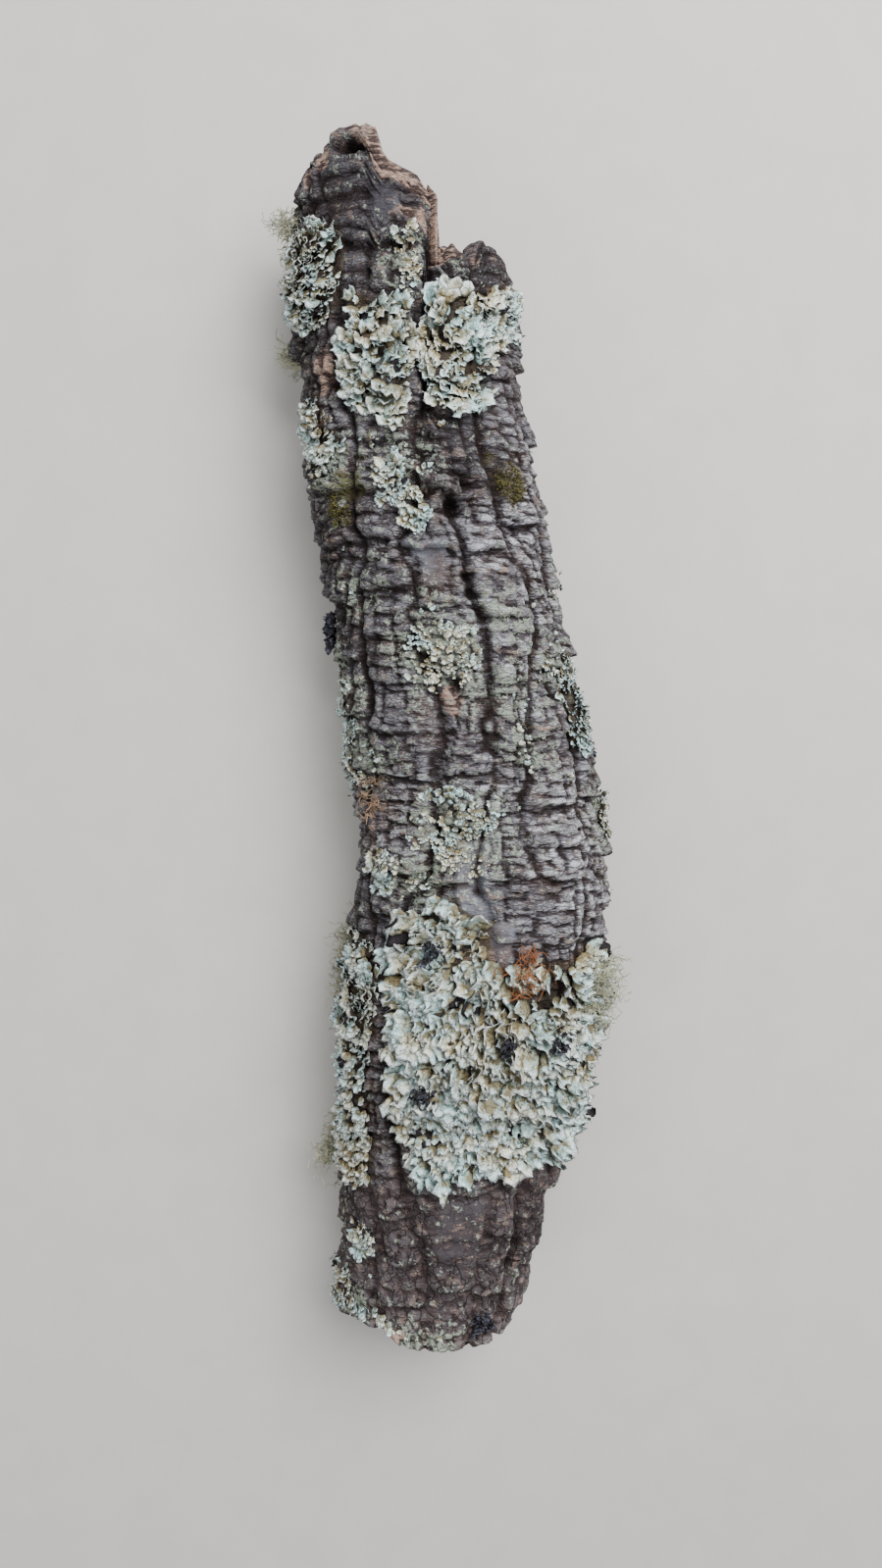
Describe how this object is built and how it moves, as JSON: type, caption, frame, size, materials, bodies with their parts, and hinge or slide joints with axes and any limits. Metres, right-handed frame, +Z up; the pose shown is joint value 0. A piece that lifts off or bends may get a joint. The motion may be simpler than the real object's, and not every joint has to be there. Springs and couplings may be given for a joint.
{
  "type": "cork branch",
  "caption": "Hollow length of furrowed cork oak bark lying on its side, broken at one end, with leafy, dark and beard lichens growing on it.",
  "frame": {"origin": "middle of the branch's length and width, on the surface it lies on", "axes": "+Y along the branch to its broken end, +Z up through the side that the picture shows, +X to the picture's right"},
  "size_m": [0.1788, 0.6172, 0.1004],
  "materials": {
    "cork_bark": "rough, furrowed, matt",
    "leafy_lichen": "dry, papery, matt",
    "dark_lichen": "dry, crumpled, matt",
    "beard_lichen": "dry fine threads, matt",
    "orange_fibre": "dry fine fibres, matt",
    "straw_fibre": "dry fine fibres, matt",
    "moss": "dry, fuzzy, matt"
  },
  "bodies": {
    "root": {"beard_lichen_left_edge": "beard_lichen", "beard_lichen_left_lower": "beard_lichen", "beard_lichen_left_middle": "beard_lichen", "beard_lichen_right": "beard_lichen", "beard_lichen_shoulder": "beard_lichen", "cork_bark": "cork_bark", "dark_lichen_elbow": "dark_lichen", "dark_lichen_foot": "dark_lichen", "dark_lichen_left_lower": "dark_lichen", "dark_lichen_left_upper": "dark_lichen", "dark_lichen_mat_lower": "dark_lichen", "dark_lichen_mat_middle": "dark_lichen", "dark_lichen_mat_right": "dark_lichen", "dark_lichen_mat_upper": "dark_lichen", "dark_lichen_right_edge": "dark_lichen", "leafy_lichen_centre": "leafy_lichen", "leafy_lichen_far_side_lower": "leafy_lichen", "leafy_lichen_far_side_upper": "leafy_lichen", "leafy_lichen_foot": "leafy_lichen", "leafy_lichen_heel": "leafy_lichen", "leafy_lichen_knot_strip": "leafy_lichen", "leafy_lichen_left_block": "leafy_lichen", "leafy_lichen_left_cheek": "leafy_lichen", "leafy_lichen_left_shoulder": "leafy_lichen", "leafy_lichen_left_waist": "leafy_lichen", "leafy_lichen_lower_left_strip": "leafy_lichen", "leafy_lichen_lower_mat": "leafy_lichen", "leafy_lichen_right_edge": "leafy_lichen", "leafy_lichen_right_flank": "leafy_lichen", "leafy_lichen_throat": "leafy_lichen", "leafy_lichen_top_fleck": "leafy_lichen", "leafy_lichen_upper_left_mat": "leafy_lichen", "leafy_lichen_upper_right_mat": "leafy_lichen", "leafy_lichen_waist": "leafy_lichen", "moss_cushion_left": "moss", "moss_cushion_right": "moss", "orange_fibre_tuft": "orange_fibre", "straw_fibre_tuft": "straw_fibre"}
  },
  "joints": []
}
